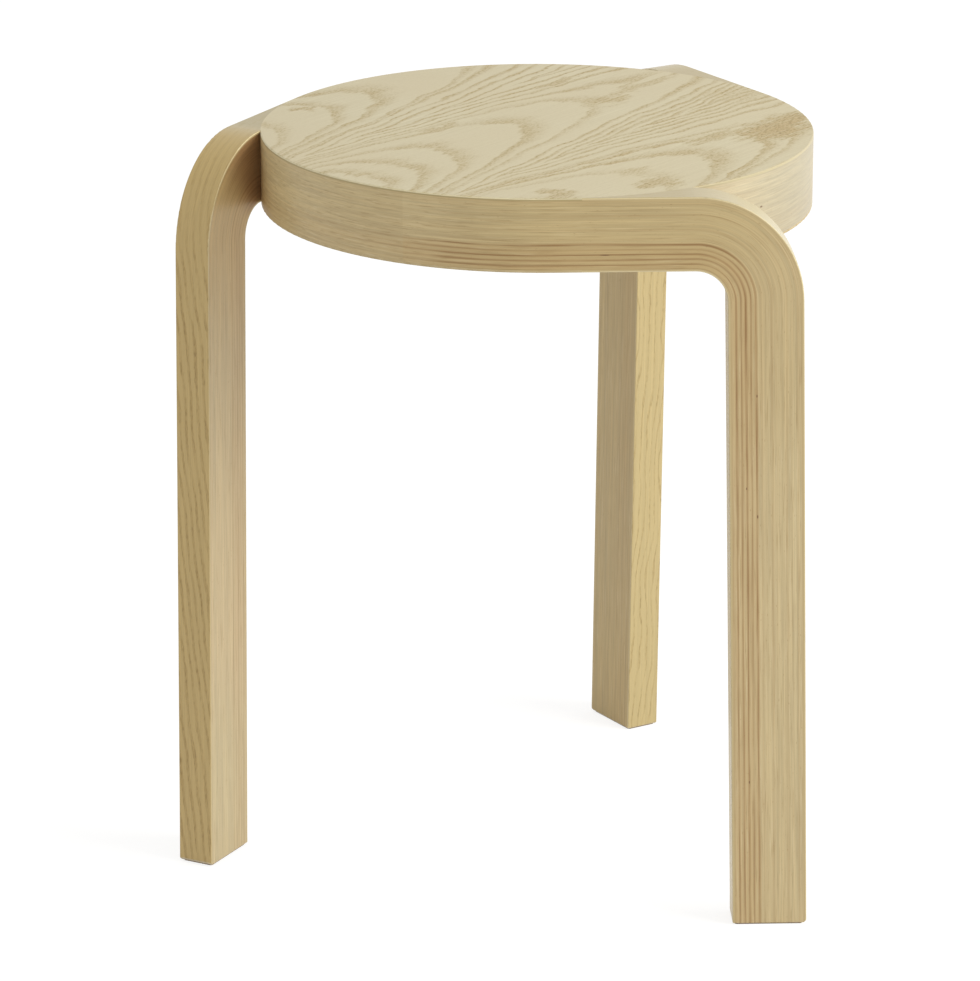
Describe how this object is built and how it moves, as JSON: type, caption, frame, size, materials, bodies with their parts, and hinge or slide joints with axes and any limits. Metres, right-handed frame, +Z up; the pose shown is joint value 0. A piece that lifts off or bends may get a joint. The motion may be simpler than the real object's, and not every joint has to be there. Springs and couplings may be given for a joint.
{
  "type": "stacking stool",
  "caption": "Round wooden stacking stool on bent-laminated legs that leave the seat rim along its tangents, so that stools nest in a turning stack",
  "frame": {"origin": "on the floor, straight below the middle of the round seat", "axes": "Z up along the seat axis. The right leg's arm runs along +X at the front (-Y) side of the seat; the back and left legs are the same leg turned by 120 and 240 degrees about Z"},
  "size_m": [0.3789, 0.375, 0.44],
  "materials": {
    "seat_face_ash": "clear matt lacquer on pale ash face ply, cathedral grain across the seat",
    "seat_lay_up": "clear lacquered edge of glued veneers, end grain and long grain in turn",
    "seat_backing": "clear matt lacquer on plain backing ply",
    "leg_lay_up": "clear lacquered edge of glued veneers, darker glue lines towards the inner side",
    "leg_face_ash": "clear matt lacquer on ash face ply, grain along the leg",
    "dowel_wood": "plain turned hardwood",
    "glide_plastic": "dark brown matt"
  },
  "bodies": {
    "root": {"seat_core": "seat_lay_up", "seat_top_face": "seat_face_ash", "seat_bottom_face": "seat_backing", "right_leg_core": "leg_lay_up", "right_leg_outer_face": "leg_face_ash", "right_leg_inner_face": "leg_face_ash", "right_leg_dowels": "dowel_wood", "right_foot_glide": "glide_plastic", "back_leg_core": "leg_lay_up", "back_leg_outer_face": "leg_face_ash", "back_leg_inner_face": "leg_face_ash", "back_leg_dowels": "dowel_wood", "back_foot_glide": "glide_plastic", "left_leg_core": "leg_lay_up", "left_leg_outer_face": "leg_face_ash", "left_leg_inner_face": "leg_face_ash", "left_leg_dowels": "dowel_wood", "left_foot_glide": "glide_plastic"}
  },
  "joints": []
}
